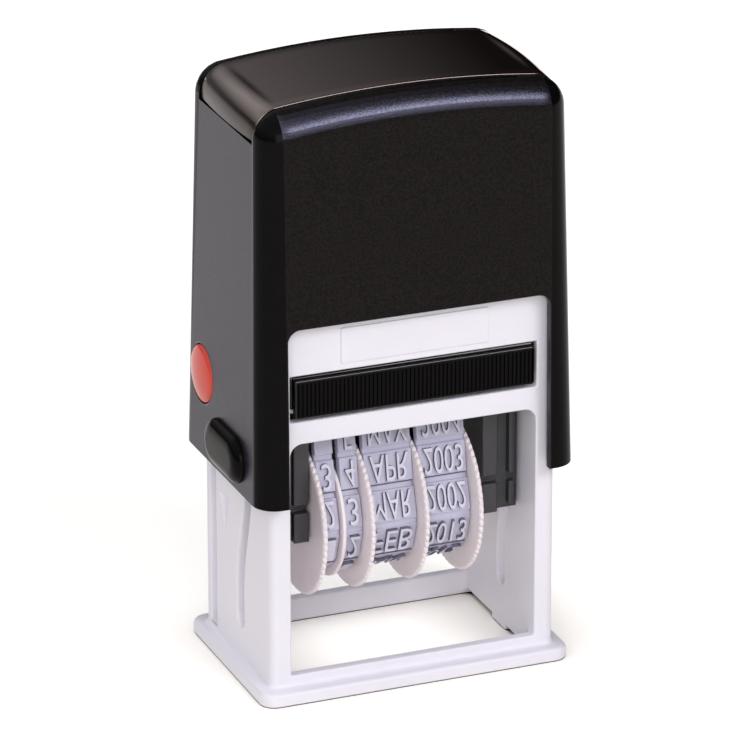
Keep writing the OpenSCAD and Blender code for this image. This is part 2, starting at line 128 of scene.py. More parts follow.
# %% Noise, colour, value, relief and skin
def noise(tree, place, grain, detail, **more):
    inputs = {"Vector": place, "Scale": 1000 / grain, "Detail": detail, **more}
    return add(tree, "ShaderNodeTexNoise", inputs).outputs["Fac"]


def blend(tree, by, dark, pale):
    return add(tree, "ShaderNodeMix", {0: by, 6: linear(dark), 7: linear(pale)}, data_type="RGBA").outputs[2]


def span(tree, by, least, most):
    return add(tree, "ShaderNodeMapRange", {"Value": by, "To Min": least, "To Max": most}).outputs[0]


def bump(tree, by, strength, deep):
    return add(tree, "ShaderNodeBump", {"Height": by, "Strength": strength, "Distance": deep * mm}).outputs[0]


def skin(tree, inputs):
    surface = add(tree, "ShaderNodeBsdfPrincipled", inputs)
    add(tree, "ShaderNodeOutputMaterial", {"Surface": surface.outputs[0]})


print("parts of a finish ready")

# %% [markdown]
# ## White ABS, satin moulded
# The frame is white ABS with a faint violet-blue tint, moulded in a tool that was lapped but not polished.
# The eye gets a broad soft sheen, very slight clouds in the white, and a grain that only breaks the sheen.

# %% White ABS
white_abs, tree, place = start_finish("white_ABS_satin_moulded")
clouds, grain = noise(tree, place, 7, 2), noise(tree, place, 0.35, 3)
skin(tree, {"Base Color": blend(tree, clouds, "#EEEBF4", "#F4F1F9"),
            "Roughness": span(tree, clouds, 0.34, 0.44),
            "Normal": bump(tree, grain, 0.12, 0.03), "IOR": 1.53})
print("made", white_abs.name)

# %% [markdown]
# ## Black ABS, spark-eroded front
# The broad front and rear of the housing have the fine, even grit that spark erosion leaves in a mould.
# It scatters a highlight into tiny sparks and keeps the face a soft warm black. The grit is about 0.15 mm on
# the real part; here it is drawn at 0.3 to 0.4 mm, as coarse as the picture needs to show it. Two more
# finishes of the same grit have a stronger, bluish shine. They go on the shoulder of the rounded top, where
# the softbox draws its band: a painted highlight.

# %% Black ABS, grit
grits = []
# The second and third copies are a painted highlight: more shine, tinted bluish, for the rounded shoulder.
for name, size, level, least, most, tint in (
        ("black_ABS_spark_eroded", 0.4, 0.1, 0.45, 0.55, "#FFFFFF"),
        ("black_ABS_spark_eroded_painted_band_fade", 0.3, 0.55, 0.28, 0.4, "#DADAFF"),
        ("black_ABS_spark_eroded_painted_band_highlight", 0.3, 1.0, 0.24, 0.36, "#DADAFF")):
    finish, tree, place = start_finish(name)
    grit = noise(tree, place, size, 3, Roughness=0.6)
    peak = add(tree, "ShaderNodeMapRange", {"Value": grit, "From Min": 0.35, "From Max": 0.65}).outputs[0]
    skin(tree, {"Base Color": blend(tree, peak, "#030202", "#1A1513"),
                "Roughness": span(tree, peak, least, most),
                "Normal": bump(tree, grit, 0.6, 0.05), "IOR": 1.53,
                "Specular IOR Level": level, "Specular Tint": linear(tint)})
    grits.append(finish)
    print("made", name)
black_grit, black_painted_band_fade, black_painted_band_highlight = grits

# %% [markdown]
# ## Black ABS, smooth flanks
# The flanks of the housing come from a smoother part of the same mould. Seen at a low angle they mirror the
# white surroundings as a grey veil, which is why the left flank is never quite black. The violet in that veil
# is painted: a violet tint on the shine and a black that leans violet.

# %% Black ABS, smooth
black_smooth, tree, place = start_finish("black_ABS_smooth_moulded")
ripple = noise(tree, place, 0.5, 2)
# The violet shine tint and the violet black paint the colour of the flank's reflection.
skin(tree, {"Base Color": blend(tree, ripple, "#19151F", "#241E2B"),
            "Roughness": span(tree, ripple, 0.24, 0.34),
            "Normal": bump(tree, ripple, 0.4, 0.03), "IOR": 1.53,
            "Specular IOR Level": 0.2, "Specular Tint": linear("#D8C8FF")})
print("made", black_smooth.name)

# %% [markdown]
# ## Black ABS, polished
# The pad cassette, the rounded corners of the housing and its pivot bosses come from polished steel, and are
# nearly black. A second finish with the plastic's full shine goes on the rounded edges of the housing and the
# cassette, and on the cassette's faces that look up: a painted highlight, which draws the thin white lines.

# %% Black ABS, polished
polished = []
# The second copy is a painted highlight: full shine for rounded edges and for faces that look up.
for name, level, least, most in (
        ("black_ABS_polished", 0.05, 0.12, 0.2),
        ("black_ABS_painted_edge_highlight", 0.5, 0.16, 0.24)):
    finish, tree, place = start_finish(name)
    ripple = noise(tree, place, 2.5, 2)
    skin(tree, {"Base Color": blend(tree, ripple, "#070606", "#0D0B0B"),
                "Roughness": span(tree, ripple, least, most),
                "Normal": bump(tree, ripple, 0.06, 0.05), "IOR": 1.53, "Specular IOR Level": level})
    polished.append(finish)
    print("made", name)
black_gloss, black_painted_edge_highlight = polished

# %% [markdown]
# ## Smoked SAN, polished cap
# The strip along the top is a clear styrene plastic tinted dark brown, polished like glass. Little light
# comes back from inside, so it is drawn as an opaque dark brown with a clean mirror on top. Its two ends are
# dulled by the hands that press there, so a second finish has a weaker shine and no clear coat.

# %% Smoked cap
smokes = []
for name, level, coat, least, most in (
        ("smoked_SAN_polished", 1.0, 1.0, 0.06, 0.12),
        ("smoked_SAN_dulled", 0.36, 0.0, 0.18, 0.28)):
    finish, tree, place = start_finish(name)
    depth = noise(tree, place, 14, 1)
    skin(tree, {"Base Color": blend(tree, depth, "#140E0B", "#1E1613"),
                "Roughness": span(tree, depth, least, most),
                "Normal": bump(tree, depth, 0.05, 0.1), "IOR": 1.57,
                "Specular IOR Level": level, "Specular Tint": linear("#F2DCD0"),
                "Coat Weight": coat, "Coat IOR": 1.8, "Coat Roughness": 0.06,
                "Coat Tint": linear("#F2DCD0")})
    smokes.append(finish)
    print("made", name)
smoked, smoked_dull = smokes

# %% [markdown]
# ## Red ABS, polished button
# The lock buttons are signal red and polished. Slow clouds in the red and a faint ripple keep the gloss from
# looking too perfect.

# %% Red button finish
red_gloss, tree, place = start_finish("red_ABS_polished")
clouds = noise(tree, place, 3, 2)
skin(tree, {"Base Color": blend(tree, clouds, "#DA4234", "#E4503F"),
            "Roughness": span(tree, clouds, 0.18, 0.26),
            "Normal": bump(tree, clouds, 0.05, 0.05), "IOR": 1.53, "Specular IOR Level": 0.3})
print("made", red_gloss.name)

# %% [markdown]
# ## Grey ABS, satin
# The cheeks and the print head of the date unit are dark grey, with a plain satin grain.

# %% Grey ABS
grey_abs, tree, place = start_finish("grey_ABS_satin_moulded")
grain = noise(tree, place, 0.45, 3)
skin(tree, {"Base Color": blend(tree, grain, "#2B2A2D", "#363538"),
            "Roughness": span(tree, grain, 0.4, 0.52),
            "Normal": bump(tree, grain, 0.2, 0.04), "IOR": 1.53})
print("made", grey_abs.name)

# %% [markdown]
# ## Natural nylon, moulded wheels
# Nylon without pigment is a warm, milky white. A little light goes in and comes out again nearby, so the thin
# rims glow at their edges and their shaded faces turn a soft pink-beige rather than grey.

# %% Natural nylon
nylon, tree, place = start_finish("natural_nylon_moulded")
clouds, grain = noise(tree, place, 4, 2), noise(tree, place, 0.4, 2)
skin(tree, {"Base Color": blend(tree, clouds, "#F3E7EA", "#F9F0F2"),
            "Roughness": span(tree, clouds, 0.38, 0.48),
            "Normal": bump(tree, grain, 0.12, 0.03), "IOR": 1.53, "Subsurface Weight": 0.2,
            "Subsurface Radius": (1.0, 0.75, 0.65), "Subsurface Scale": 0.9 * mm})
print("made", nylon.name)

# %% [markdown]
# ## Stamp rubber, vulcanised
# The date bands and the text plate are grey-violet rubber, matt from the mould, with a fine dusty speckle.
# The raised figures' faces are drawn a shade paler, a painted highlight, and the sides of the figures and the
# steep walls of the grooves between the rows a dark grey-violet: painted shade.

# %% Stamp rubber
rubbers = []
# The second copy is a painted highlight for the figures' faces, the third painted shade for their sides and
# the groove walls.
for name, dark, pale in (
        ("grey_rubber_vulcanised", "#BBB9CF", "#CFCDE0"),
        ("grey_rubber_painted_lit", "#D0CEDF", "#E0DEEC"),
        ("grey_rubber_painted_shade", "#5C5A6C", "#726F84")):
    finish, tree, place = start_finish(name)
    dust, patch = noise(tree, place, 0.3, 3), noise(tree, place, 3.5, 2)
    skin(tree, {"Base Color": blend(tree, dust, dark, pale),
                "Roughness": span(tree, patch, 0.5, 0.66),
                "Normal": bump(tree, dust, 0.2, 0.04), "IOR": 1.52})
    rubbers.append(finish)
    print("made", name)
rubber, rubber_painted_lit, rubber_painted_shade = rubbers

# %% [markdown]
# ## Wool felt, soaked with ink
# The pad is pressed felt full of violet-black stamp ink: damp, very dark, with fibres crossing every way.
# Fibres are about 0.03 mm; they are drawn in tufts of 0.5 mm so that the tangle shows at all.

# %% Inked felt
felt, tree, place = start_finish("wool_felt_inked")
tangle = noise(tree, place, 0.5, 4, Distortion=2)
fibre = add(tree, "ShaderNodeTexVoronoi", {"Vector": tangle.node.outputs["Color"], "Scale": 9.0})
skin(tree, {"Base Color": blend(tree, fibre.outputs["Distance"], "#15112B", "#2A2446"),
            "Roughness": span(tree, tangle, 0.5, 0.85),
            "Normal": bump(tree, tangle, 0.5, 0.15), "IOR": 1.4,
            "Sheen Weight": 0.25, "Sheen Roughness": 0.5})
print("made", felt.name)

# %% [markdown]
# ## Drawn spring steel
# Spring, axle and pins are steel wire pulled through a die, which leaves faint lines along the wire and a
# grey mirror that is a little blurred. The lines are stretched along X, the way the rods lie.

# %% Spring steel
steel, tree, place = start_finish("spring_steel_drawn")
squeeze = add(tree, "ShaderNodeMapping", {"Vector": place, "Scale": (0.08, 1, 1)})
drawn = noise(tree, squeeze.outputs[0], 0.2, 3)
skin(tree, {"Base Color": blend(tree, drawn, "#8F9194", "#C2C4C7"),
            "Roughness": span(tree, drawn, 0.22, 0.4), "Metallic": 1.0})
print("made", steel.name)

# %% [markdown]
# ## Soft moulded edges
# No moulded edge is truly sharp: a small radius catches the light and draws the bright line that makes an
# edge readable. A bevel by hand on each piece would be slow, so a tool does it, in two parts. This first part
# gives every sharp edge its own width in millimetres. A width is never more than the room that its neighbours
# leave, and it is the same along one line, so nothing folds over itself.

# %% Widths of the edges
sharp_bend, least_bend = radians(30), radians(4)
straight_on, room_share = -0.8, 0.42


def bend(edge):
    return edge.calc_face_angle(0.0) if len(edge.link_faces) == 2 else 0.0


def away(edge, corner):
    return edge.other_vert(corner).co - corner.co


def even_widths(sharp, width):
    """Width in mm of every sharp edge: no more than its corners have room for, and even along a line."""
    leader = {edge: edge for edge in sharp}

    def lead(edge):
        while leader[edge] is not edge:
            edge = leader[edge]
        return edge

    widths = {}
    for edge in sharp:
        widths[edge] = width((edge.verts[0].co + edge.verts[1].co) / 2 / mm)
        for corner in edge.verts:
            for other in corner.link_edges:
                if other is edge or bend(other) < least_bend:
                    continue
                turn_cosine = away(edge, corner).normalized().dot(away(other, corner).normalized())
                runs_on = turn_cosine < straight_on
                if runs_on and other in leader:
                    leader[lead(other)] = lead(edge)
                elif not runs_on:
                    widths[edge] = min(widths[edge], room_share * away(other, corner).length / mm)
    least = {}
    for edge, w in widths.items():
        least[lead(edge)] = min(w, least.get(lead(edge), w))
    return {edge: least[lead(edge)] for edge in widths}


print("edges count as sharp from", round(sharp_bend, 2), "radians")

# %% [markdown]
# ## Dressing a solid
# The second part takes the CAD solid's own mesh, welds it, cuts it where two finishes meet, lets a piece
# reshape its points, and marks each sharp edge with its width. Two modifiers do the rest: one rounds the
# edges, the other evens the shading. The piece then rides on the body of the node that it stands for. Two
# steps of this are useful later too: turning points and faces into an object, and settling it on its body.

# %% Tool for soft edges
weld, cut_slack, bevel_steps, hard_below = 0.001 * mm, 0.0005 * mm, 3, 0.03


def as_object(name, shape):
    mesh = bpy.data.meshes.new(name)
    shape.to_mesh(mesh)
    shape.free()
    return bpy.data.objects.new(name, mesh)


def settle(piece, node, slot, *finishes):
    for finish in finishes:
        piece.data.materials.append(finish)
    scene.collection.objects.link(piece)
    body = next(b for b, members in frame["record"]["behaviour"]["bodies"].items() if node in members)
    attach(piece, body)
    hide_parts(node)
    return piece


def soft_edged(node, name, slot, finishes, width, cuts=(), pick=None, edge_finish=-1, moved=None):
    """A node's solid with round edges: width(p) gives an edge's radius, pick(p, normal) a face's finish."""
    shape = bmesh.new()
    shape.from_mesh(frame["nodes"][node].data)
    bmesh.ops.remove_doubles(shape, verts=shape.verts, dist=weld)
    for at, way in cuts:
        bmesh.ops.bisect_plane(shape, geom=shape.verts[:] + shape.edges[:] + shape.faces[:],
                               plane_co=at, plane_no=way, dist=cut_slack)
    for v in shape.verts if moved else ():
        v.co = moved(v.co / mm) * mm
    shape.normal_update()
    weight = shape.edges.layers.float.new("bevel_weight_edge")
    sharp = [edge for edge in shape.edges if bend(edge) > sharp_bend]
    for edge, given in even_widths(sharp, width).items():
        edge[weight] = given
        edge.smooth = given > hard_below
    for face in shape.faces:
        face.smooth = True
        if pick:
            face.material_index = pick(face.calc_center_median() / mm, face.normal)
    piece = as_object(name, shape)
    bevel = piece.modifiers.new("moulded_edges", "BEVEL")
    bevel.limit_method, bevel.width, bevel.segments = "WEIGHT", 1.0 * mm, bevel_steps
    bevel.use_clamp_overlap, bevel.loop_slide, bevel.material = False, False, edge_finish
    normals = piece.modifiers.new("even_shading", "WEIGHTED_NORMAL")
    normals.keep_sharp, normals.weight = True, 60
    return settle(piece, node, slot, *finishes)


print("edge tool ready")

# %% [markdown]
# ## The white frame
# One moulding holds everything: a foot, a column open at front and rear, the two S slots and the slot for the
# pad. Its foot has a generous radius, the slots in its side walls a middling one and its windows a small one.
# All of that is one function of where an edge lies. The raised panel above the cassette is plain.

# %% Frame
foot_edge, slot_edge, window_edge = 0.7, 0.5, 0.3
foot_low, foot_high = 1.0, 2.5
wall_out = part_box("frame")[1].x / mm - 2.3
slot_low, slot_high, slot_half = 6.0, 42.0, 8.0


def frame_edge(p):
    if foot_low < p.z < foot_high:
        return foot_edge
    if abs(p.x) > wall_out and slot_low < p.z < slot_high and abs(p.y) < slot_half:
        return slot_edge
    return window_edge


column = soft_edged("frame", "frame_column", "white_abs", [white_abs], frame_edge)
print("frame faces:", len(column.data.polygons))

# %% [markdown]
# ## The rounded top
# The top of the housing is a ball rolled along an arch. For any point there, the ball's centre is found by
# going along the arch to the same tilt, and the direction from that centre to the point is the true normal of
# the surface. The next steps use it twice: to lower the rim beside the cap, and to shade the top smoothly.

# %% Ball along the arch
half_wide = 26.6
ball, arch_r, draft = 5.0, 167.0, 1.0
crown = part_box("housing")[1] / mm
reach_x, reach_y = half_wide - draft - ball, crown.y - draft - ball
arch_low = crown.z - ball - arch_r


def ball_normal(p, slack=0.12):
    """Normal of the rolled ball at a point in mm, or None where the point lies off the rounded top."""
    x = p.x * arch_r / sqrt(p.x ** 2 + (p.z - arch_low) ** 2)
    x = max(-reach_x, min(reach_x, x))
    centre = Vector((x, max(-reach_y, min(reach_y, p.y)), arch_low + sqrt(arch_r ** 2 - x ** 2)))
    from_centre = p - centre
    return from_centre.normalized() if abs(from_centre.length - ball) < slack else None


print("the ball's centre reaches", round(reach_x, 2), "and", round(reach_y, 2), "mm from the middle")

# %% [markdown]
# ## The black housing
# A drafted cover with an arched top. On the real part the grit of the front stops at a fine line beside the
# polished corners, so the mesh is cut there and each face takes one of six finishes by where it looks. The
# solid's plain boss over each pivot pin is sunk under its wall, because a rounder one is built in its place
# later, and the rim is lowered beside the cap, so that the cap stands out of it.

# %% Housing
GRIT, SMOOTH, GLOSS, BAND_HIGHLIGHT, EDGE_HIGHLIGHT, BAND_FADE = range(6)
panel_half = 22.0
boss_side, boss_rear, boss_front, boss_foot, boss_head = half_wide - 0.5, 4.8, -10.6, 34.5, 42.6
boss_sunk, wall_slack, top_slack = 26.3, 0.05, 0.5
skirt_edge, cover_edge = 0.4, 0.3
rim_foot, rim_slack, rim_drop, rim_run = 90.0, 0.15, 0.3, 1.0
shoulder_foot, highlight_foot, highlight_head, shoulder_head = 0.25, 0.4, 0.83, 0.92
shoulder_look, front_look, flank_look = 0.05, 0.1, 0.97


def housing_edge(p):
    over_boss = abs(p.x) > boss_side and boss_foot < p.z < boss_head and boss_front < p.y < boss_rear
    at_rim = p.z > rim_foot and abs(p.y) < reach_y + rim_slack
    if over_boss or at_rim:
        return 0.0
    return skirt_edge if p.z < boss_foot else cover_edge


def housing_form(p):
    if abs(p.x) > half_wide + wall_slack:
        return Vector((max(-boss_sunk, min(boss_sunk, p.x)), p.y, p.z))
    normal = ball_normal(p, top_slack)
    past_rim = max(0.0, abs(p.y) - reach_y) / rim_run
    if normal and past_rim < 1:
        return p - normal * rim_drop * (1 - past_rim)
    return p


# On the panel the shoulder strips take the painted highlight copies of the grit: strongest in the middle of
# the shoulder, fading above and below it.
def housing_skin(centre, normal):
    on_panel = abs(centre.x) < panel_half
    if abs(normal.y) > shoulder_look and normal.z > shoulder_foot:
        if not on_panel:
            return GLOSS
        if normal.z > shoulder_head:
            return GRIT
        return BAND_HIGHLIGHT if highlight_foot <= normal.z <= highlight_head else BAND_FADE
    if on_panel and abs(normal.y) > front_look:
        return GRIT
    return SMOOTH if abs(normal.x) > flank_look else GLOSS


lines = [((s * panel_half * mm, 0, 0), (1, 0, 0)) for s in (-1, 1)]
# The cover's rounded edges take the painted edge highlight finish.
cover = soft_edged("housing", "housing_cover", "black_abs",
                   [black_grit, black_smooth, black_gloss, black_painted_band_highlight, black_painted_edge_highlight, black_painted_band_fade],
                   housing_edge, lines, housing_skin, EDGE_HIGHLIGHT, housing_form)
print("housing faces:", len(cover.data.polygons))

# %% [markdown]
# ## Smooth shading of the top
# The rounded top of the solid is made of flat strips, and a lamp's band breaks up on them. More strips would
# cost faces. Instead each point inside the strips is told the normal of the rolled ball, and the band comes
# out in one piece. The modifiers are made final first, because they would write normals of their own.

# %% True normals on the rounded top
same_way = 0.9
bpy.context.view_layer.update()
finished = cover.evaluated_get(bpy.context.evaluated_depsgraph_get())
mesh = bpy.data.meshes.new_from_object(finished)
normals = [Vector(corner.vector) for corner in mesh.corner_normals]
balls = [ball_normal(v.co / mm) for v in mesh.vertices]
strips = [f for f in mesh.polygons
          if all(balls[v] and balls[v].dot(f.normal) > same_way for v in f.vertices)]
on_ball = {f.index for f in strips}
inside = {v for f in strips for v in f.vertices}
inside -= {v for f in mesh.polygons if f.index not in on_ball for v in f.vertices}
for f in strips:
    for corner in f.loop_indices:
        if mesh.loops[corner].vertex_index in inside:
            normals[corner] = balls[mesh.loops[corner].vertex_index]
mesh.normals_split_custom_set(normals)
cover.modifiers.clear()
cover.data = mesh
print("strips with true normals:", len(strips), "points:", len(inside))

# %% [markdown]
# ## The pivot bosses
# The long boss over each pivot pin is the one form here with a really large radius, more than a bevel of the
# solid's edge can give. So it is built as a stack of rings with the same round-ended outline, each a little
# further out and a little smaller, like the contour lines of a hill. The last ring is filled. The function
# that joins ring to ring serves the spring later on.

# %% Pivot bosses
boss_r, boss_z, boss_ends = 3.85, 38.55, (-6.55, 0.75)
boss_root, boss_out, boss_round = 26.0, crown.x, 2.3
ring_steps, level_steps = 24, 12


def boss_ring(x, r):
    turns = [pi * i / ring_steps - pi / 2 for i in range(ring_steps + 1)]
    return [(x, boss_ends[1] + r * cos(a), boss_z + r * sin(a)) for a in turns] + \
           [(x, boss_ends[0] - r * cos(a), boss_z - r * sin(a)) for a in turns]


def join_rings(shape, rings):
    for here, there in zip(rings, rings[1:]):
        for j in range(len(here)):
            k = (j + 1) % len(here)
            shape.faces.new((here[j], here[k], there[k], there[j])).smooth = True


levels = [(boss_root, boss_r)]
for a in (pi / 2 / level_steps * k for k in range(level_steps + 1)):
    levels.append((half_wide + (boss_out - half_wide) * sin(a), boss_r - boss_round * (1 - cos(a))))
for label, sign in (("left", -1), ("right", 1)):
    shape = bmesh.new()
    rings = [[shape.verts.new(Vector((sign * x, y, z)) * mm) for x, y, z in boss_ring(*level)]
             for level in levels]
    join_rings(shape, rings)
    shape.faces.new(rings[-1]).smooth = True
    bmesh.ops.recalc_face_normals(shape, faces=shape.faces)
    boss = as_object(f"{label}_pivot_boss", shape)
    boss.data.materials.append(black_gloss)
    scene.collection.objects.link(boss)
    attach(boss, "housing_body")
    print(label, "boss reaches", round(boss_out, 2))

# %% [markdown]
# ## The smoked cap
# The strip wraps over both ends of the arch, and its polish shows every flat of a coarse mesh. So it is drawn
# anew, as a row of outlines from its front edge to its rear edge: a 4.4 mm radius rolled along the arch,
# with the ends a little fuller in the middle and the long edges rounded. Each outline is an outer line and an
# inner line. At each end the wall thins to a lip, which passes the frame when the housing is pressed down.

# %% Outlines of the cap
cap_least, cap_most = (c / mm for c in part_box("top_cap"))
cap_half, end_r, thick, lip, swell, soft = cap_most.y, 4.4, 1.9, 0.65, 1.0, 0.25
swell_most, swell_fade = 1.4, 0.8
end_steps, arch_steps, edge_steps, lane_gap, lanes_each_way = 20, 30, 4, 2.25, 4
arc_x = cap_most.x - end_r
arc_tilt = arc_x / arch_r
tilts = [(-arc_x, -1.0, 0.0)] * 2
tilts += [(-arc_x, -cos(a), sin(a))
          for a in (k / end_steps * (pi / 2 - arc_tilt) for k in range(end_steps))]
tilts += [(x, x / arch_r, sqrt(1 - (x / arch_r) ** 2))
          for x in (arc_x * (k / arch_steps - 1) for k in range(arch_steps + 1))]
tilts += [(-x, -nx, nz) for x, nx, nz in reversed(tilts)]


def cap_line(y, inset):
    outline = []
    bulge = swell * (1 - (y / cap_half) ** 2)
    for k, (x, nx, nz) in enumerate(tilts):
        from_end = min(k, len(tilts) - 1 - k)
        z = cap_most.z - end_r - arch_r + sqrt(arch_r ** 2 - x ** 2) if from_end else cap_least.z
        fuller = max(0.0, abs(nx) - arc_tilt) * (swell_most - swell_fade * nx ** 2)
        reach = end_r - inset + bulge * fuller
        hollow = end_r - (lip if from_end < 2 else thick)
        outline.append([Vector((x + nx * r, y, z + nz * r)) * mm for r in (reach, hollow)])
    return outline


quarter = [pi / 2 / edge_steps * k for k in range(edge_steps + 1)]
rounding = [(cap_half - soft + soft * cos(a), soft - soft * sin(a)) for a in quarter]
lanes = [(-y, inset) for y, inset in rounding]
lanes += [(lane_gap * k, 0.0) for k in range(-lanes_each_way, lanes_each_way + 1)]
lanes += [(y, inset) for y, inset in reversed(rounding)]
print("cap outlines:", len(lanes), "with", len(tilts), "points on each line")

# %% [markdown]
# The outlines become a grid of points. Quads join neighbours on the outer and on the inner side, and close
# the ends and the two long edges. Faces that look along X are the handled ends, and take the dulled finish.

# %% Cap
end_look, cap_crease = 0.88, radians(40)
shape = bmesh.new()
grid = [[[shape.verts.new(point) for point in pair] for pair in cap_line(*lane)] for lane in lanes]
for here, there in zip(grid, grid[1:]):
    for j in range(len(here) - 1):
        for line in (0, 1):
            shape.faces.new((here[j][line], here[j + 1][line], there[j + 1][line], there[j][line]))
    for j in (0, -1):
        shape.faces.new((here[j][0], here[j][1], there[j][1], there[j][0]))
for end in (grid[0], grid[-1]):
    for j in range(len(end) - 1):
        shape.faces.new((end[j][0], end[j + 1][0], end[j + 1][1], end[j][1]))
bmesh.ops.remove_doubles(shape, verts=shape.verts, dist=weld)
bmesh.ops.recalc_face_normals(shape, faces=shape.faces)
cap = as_object("smoked_top_cap", shape)
cap.data.shade_smooth()
cap.data.set_sharp_from_angle(angle=cap_crease)
for face in cap.data.polygons:
    face.material_index = int(abs(face.normal.x) > end_look)
settle(cap, "top_cap", "smoked_cap", smoked, smoked_dull)
print("cap faces:", len(cap.data.polygons))

# %% [markdown]
# ## Turned shapes
# Wheels and buttons are round about the X axis, so a profile of distance along X and radius is turned round.
# The rims carry teeth for a thumb: the radius of their outer points dips between two teeth, by a share that
# the profile gives for each point.

# %% Tool for turned shapes
turned_crease = radians(50)


def turned(name, profile, centre, steps, teeth=0, tooth=0.0):
    shape = bmesh.new()
    rings = []
    for i in range(steps):
        a = 2 * pi * i / steps
        dip = tooth * (1 - abs(cos(teeth * a / 2))) if teeth else 0.0
        spots = [(x, r - share * dip) for x, r, share in profile]
        rings.append([shape.verts.new((x * mm, (centre[0] + r * cos(a)) * mm, (centre[1] + r * sin(a)) * mm))
                      for x, r in spots])
    for i in range(steps):
        here, there = rings[i], rings[(i + 1) % steps]
        for j in range(len(profile)):
            k = (j + 1) % len(profile)
            if profile[j][1] == 0 and profile[k][1] == 0:
                continue
            shape.faces.new((here[j], there[j], there[k], here[k]))
    bmesh.ops.remove_doubles(shape, verts=shape.verts, dist=0.5 * weld)
    bmesh.ops.recalc_face_normals(shape, faces=shape.faces)
    for face in shape.faces:
        face.smooth = True
    for edge in shape.edges:
        if len(edge.link_faces) == 2 and edge.calc_face_angle() > turned_crease:
            edge.smooth = False
    return as_object(name, shape)


print("turning tool ready")

# %% [markdown]
# ## The lock buttons
# Each button is a shallow dome with a soft shoulder, in a hole in the flank. A small tip behind it reaches
# into the frame's groove. It is turned in one profile, and the tip, which sits to one side, is joined to it.

# %% Lock buttons
dome_deep, dome_share, dome_power, dome_steps, button_thick = 0.62, 0.93, 2.2, 10, 2.3
button_steps, tip_steps = 96, 32
shoulder_deep, shoulder_share, side_deep = 0.78, 0.972, 1.0
tip_y, tip_r, tip_end_r, tip_bevel = 10.85, 0.9, 0.7, 0.2
for label, sign in (("left", -1), ("right", 1)):
    low, high = (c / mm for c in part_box(f"{label}_lock_button"))
    radius, middle = (high.z - low.z) / 2, ((low.y + high.y) / 2, (low.z + high.z) / 2)
    outer, tip_in = (high.x, low.x) if sign > 0 else (-low.x, -high.x)
    inner = outer - button_thick
    arc = [(outer - dome_deep * (k / dome_steps) ** dome_power, dome_share * radius * k / dome_steps)
           for k in range(dome_steps + 1)]
    rim = [(outer - shoulder_deep, shoulder_share * radius), (outer - side_deep, radius), (inner, radius),
           (inner, 0.0)]
    profile = [(sign * x, r, 0) for x, r in arc + rim]
    button = turned(f"{label}_button_dome", profile, middle, button_steps)
    stem = ((inner, 0), (inner, tip_r), (tip_in + tip_bevel, tip_r), (tip_in, tip_end_r), (tip_in, 0))
    tip = turned("tip", [(sign * x, r, 0) for x, r in stem], (tip_y, middle[1]), tip_steps)
    joined = bmesh.new()
    joined.from_mesh(button.data)
    joined.from_mesh(tip.data)
    joined.to_mesh(button.data)
    joined.free()
    bpy.data.objects.remove(tip)
    settle(button, f"{label}_lock_button", "red_gloss", red_gloss)
    print(label, "button radius", round(radius, 2))

# %% [markdown]
# ## The pad cassette
# The black tray slides in from the front and ends in a ridged grip. The ridges are too fine for a radius, so
# on the grip only its outer frame is softened. Faces that look up, and the rounded edges, take the shinier
# finish: a painted highlight.

# %% Cassette
grip_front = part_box("pad_cassette")[0].y / mm + 0.3
grip_foot, grip_head, grip_half = 47.4, 53.2, 19.7
tray_round, head_round, frame_round, up_look = 0.3, 0.35, 0.2, 0.7


def tray_edge(p):
    if p.y > grip_front:
        return tray_round
    if p.z > grip_head:
        return head_round
    return frame_round if p.z < grip_foot or abs(p.x) > grip_half else 0.0


# Faces that look up and the rounded edges take the painted highlight finish.
tray = soft_edged("pad_cassette", "cassette_tray", "black_gloss", [black_gloss, black_painted_edge_highlight], tray_edge,
                  pick=lambda centre, normal: int(normal.z > up_look), edge_finish=1)
print("tray faces:", len(tray.data.polygons))

# %% [markdown]
# ## The ink pad
# The felt lies upside down in the tray, facing the date. Felt is soft, so a plain block won't do: the pad is
# a fine grid of points, drawn in a little at its rims, with low waves over its faces.

# %% Ink pad
pad_cuts, wave_high = 23, 0.015 * mm
fill_x, fill_y, fill_z = 0.498, 0.496, 0.49
rim_x, rim_y, rim_z = 0.006, 0.012, 0.012
low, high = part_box("ink_pad")
middle, size = (low + high) / 2, high - low
shape = bmesh.new()
bmesh.ops.create_cube(shape, size=1.0)
bmesh.ops.subdivide_edges(shape, edges=shape.edges[:], cuts=pad_cuts, use_grid_fill=True)
for v in shape.verts:
    u = Vector((2 * v.co.x, 2 * v.co.y, 2 * v.co.z))
    waves = sin(31 * u.x + 3) * sin(23 * u.y) + 0.6 * sin(57 * u.x + 41 * u.y)
    pull = 1 - rim_z * (max(abs(u.x), abs(u.y)) ** 8)
    v.co = Vector((middle.x + fill_x * size.x * u.x * (1 - rim_x * abs(u.z) ** 6),
                   middle.y + fill_y * size.y * u.y * (1 - rim_y * abs(u.z) ** 6),
                   middle.z + fill_z * size.z * u.z * pull + wave_high * waves * abs(u.z)))
for face in shape.faces:
    face.smooth = True
pad = as_object("ink_pad_felt", shape)
settle(pad, "ink_pad", "ink_felt", felt)
print("pad in mm:", [round(v / mm, 2) for v in size])

# %% [markdown]
# ## The date unit's body
# Two grey cheeks carry the axle and the print head, two steel pins hold the unit in the frame's slots, and a
# thin disc parts the two day bands. They are plain mouldings and rods, so the edge tool does all of it: a
# list gives each piece its name, its finish and the radius of its edges.

